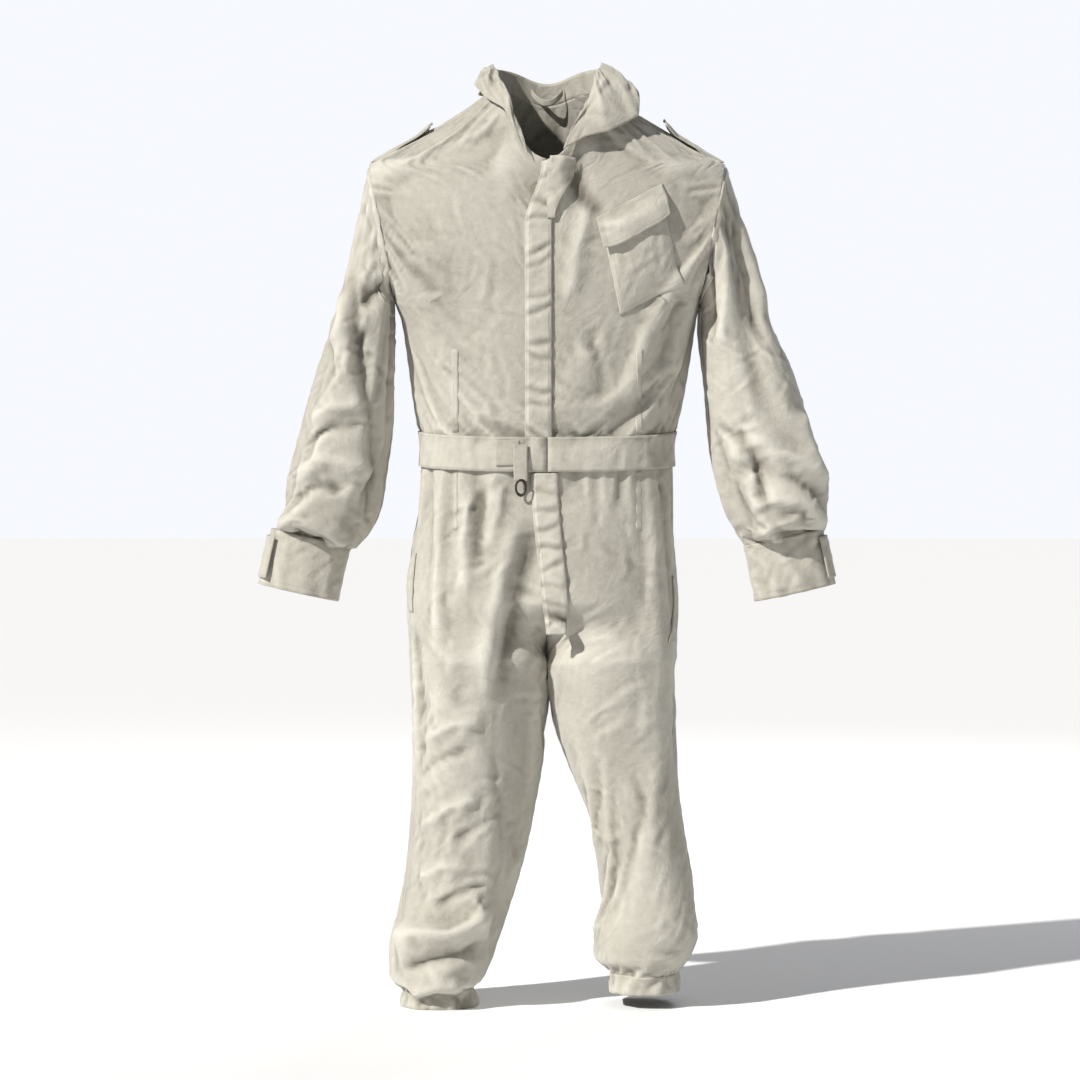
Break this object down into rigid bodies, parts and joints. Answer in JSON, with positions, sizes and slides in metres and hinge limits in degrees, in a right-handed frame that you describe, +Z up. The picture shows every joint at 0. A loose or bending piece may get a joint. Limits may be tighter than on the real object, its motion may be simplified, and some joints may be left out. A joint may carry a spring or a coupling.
{
  "type": "beekeeping suit",
  "caption": "One-piece cotton beekeeping coverall with shirt collar, concealed button front, waistband, chest pocket, long sleeves with cuffs, and full-length legs.",
  "frame": {"origin": "centre of the neck opening at the height of the nape, where a hanger's hook comes through", "axes": "+Z up, front faces -Y, +X towards the wearer's left"},
  "size_m": [0.9008, 0.2935, 1.4472],
  "materials": {
    "cotton_drill": "matte twill, washed and creased",
    "collar_cotton": "matte twill, washed and creased",
    "pocketing": "plain cotton",
    "button_plastic": "satin",
    "dark_metal": "dark lacquered wire"
  },
  "bodies": {
    "torso": {"back_panel": "cotton_drill", "back_yoke": "cotton_drill", "button_band": "cotton_drill", "chest_pocket_button": "button_plastic", "chest_pocket_pouch": "cotton_drill", "collar_fall_back": "collar_cotton", "collar_stand": "collar_cotton", "epaulette_button_left": "button_plastic", "epaulette_button_right": "button_plastic", "fly_button_1": "button_plastic", "fly_button_2": "button_plastic", "fly_button_3": "button_plastic", "fly_button_4": "button_plastic", "fly_cover": "cotton_drill", "fly_facing": "cotton_drill", "front_left_panel": "cotton_drill", "front_placket": "cotton_drill", "front_right_panel": "cotton_drill", "hanger_loop": "cotton_drill", "hips_left_back": "cotton_drill", "hips_left_front": "cotton_drill", "hips_right_back": "cotton_drill", "hips_right_front": "cotton_drill", "placket_button_1": "button_plastic", "placket_button_2": "button_plastic", "placket_button_3": "button_plastic", "placket_button_4": "button_plastic", "placket_button_5": "button_plastic", "placket_button_6": "button_plastic", "side_pocket_bag_left": "pocketing", "side_pocket_bag_right": "pocketing", "side_pocket_welt_left": "cotton_drill", "side_pocket_welt_right": "cotton_drill", "waistband_back": "cotton_drill", "waistband_front_left": "cotton_drill", "waistband_front_right": "cotton_drill"},
    "sleeve_right": {"cuff_button_right": "button_plastic", "cuff_right": "cotton_drill", "sleeve_right_back": "cotton_drill", "sleeve_right_front": "cotton_drill"},
    "sleeve_left": {"cuff_button_left": "button_plastic", "cuff_left": "cotton_drill", "sleeve_left_back": "cotton_drill", "sleeve_left_front": "cotton_drill"},
    "cuff_tab_right": {"cuff_tab_right": "cotton_drill"},
    "cuff_tab_left": {"cuff_tab_left": "cotton_drill"},
    "leg_right": {"hem_right": "cotton_drill", "leg_right_back": "cotton_drill", "leg_right_front": "cotton_drill"},
    "leg_left": {"hem_left": "cotton_drill", "leg_left_back": "cotton_drill", "leg_left_front": "cotton_drill"},
    "collar_leaf_right": {"collar_leaf_right": "collar_cotton"},
    "collar_leaf_left": {"collar_leaf_left": "collar_cotton"},
    "pocket_flap": {"chest_pocket_flap": "cotton_drill"},
    "epaulette_right": {"epaulette_right": "cotton_drill"},
    "epaulette_left": {"epaulette_left": "cotton_drill"},
    "waist_tab": {"waist_tab": "cotton_drill", "waist_tab_ring": "dark_metal"}
  },
  "joints": [
    {"name": "sleeve_right_swing", "type": "hinge", "parent": "torso", "child": "sleeve_right", "pos_m": [-0.274, 0, -0.101], "axis": [0, 1, 0], "range_deg": [0, 60]},
    {"name": "sleeve_left_swing", "type": "hinge", "parent": "torso", "child": "sleeve_left", "pos_m": [0.274, 0, -0.101], "axis": [0, -1, 0], "range_deg": [0, 60]},
    {"name": "leg_right_swing", "type": "hinge", "parent": "torso", "child": "leg_right", "pos_m": [-0.117, 0, -0.7], "axis": [-1, 0, 0], "range_deg": [-20, 30]},
    {"name": "leg_left_swing", "type": "hinge", "parent": "torso", "child": "leg_left", "pos_m": [0.106, 0, -0.7], "axis": [-1, 0, 0], "range_deg": [-20, 30]},
    {"name": "collar_leaf_right_turn", "type": "hinge", "parent": "torso", "child": "collar_leaf_right", "pos_m": [-0.07355, -0.04034, 0.0335], "axis": [-0.281, 0.8847, 0.3719], "range_deg": [0, 60]},
    {"name": "collar_leaf_left_turn", "type": "hinge", "parent": "torso", "child": "collar_leaf_left", "pos_m": [0.07355, -0.04034, 0.0335], "axis": [-0.281, -0.8847, -0.3719], "range_deg": [0, 60]},
    {"name": "pocket_flap_lift", "type": "hinge", "parent": "torso", "child": "pocket_flap", "pos_m": [0.12057, -0.122, -0.16687], "axis": [-0.8996, -0.1712, -0.4017], "range_deg": [0, 75]},
    {"name": "epaulette_right_lift", "type": "hinge", "parent": "torso", "child": "epaulette_right", "pos_m": [-0.2721, 0, -0.09812], "axis": [0, -1, 0], "range_deg": [0, 75]},
    {"name": "epaulette_left_lift", "type": "hinge", "parent": "torso", "child": "epaulette_left", "pos_m": [0.2721, 0, -0.09812], "axis": [0, 1, 0], "range_deg": [0, 75]},
    {"name": "cuff_tab_right_open", "type": "hinge", "parent": "sleeve_right", "child": "cuff_tab_right", "pos_m": [-0.43156, 0.02167, -0.70748], "axis": [-0.2164, 0, -0.9763], "range_deg": [0, 50]},
    {"name": "cuff_tab_left_open", "type": "hinge", "parent": "sleeve_left", "child": "cuff_tab_left", "pos_m": [0.43156, 0.02167, -0.70748], "axis": [-0.2164, 0, 0.9763], "range_deg": [0, 50]},
    {"name": "waist_tab_lift", "type": "hinge", "parent": "torso", "child": "waist_tab", "pos_m": [-0.045, -0.1238, -0.5327], "axis": [-1, 0, 0], "range_deg": [0, 80]}
  ]
}
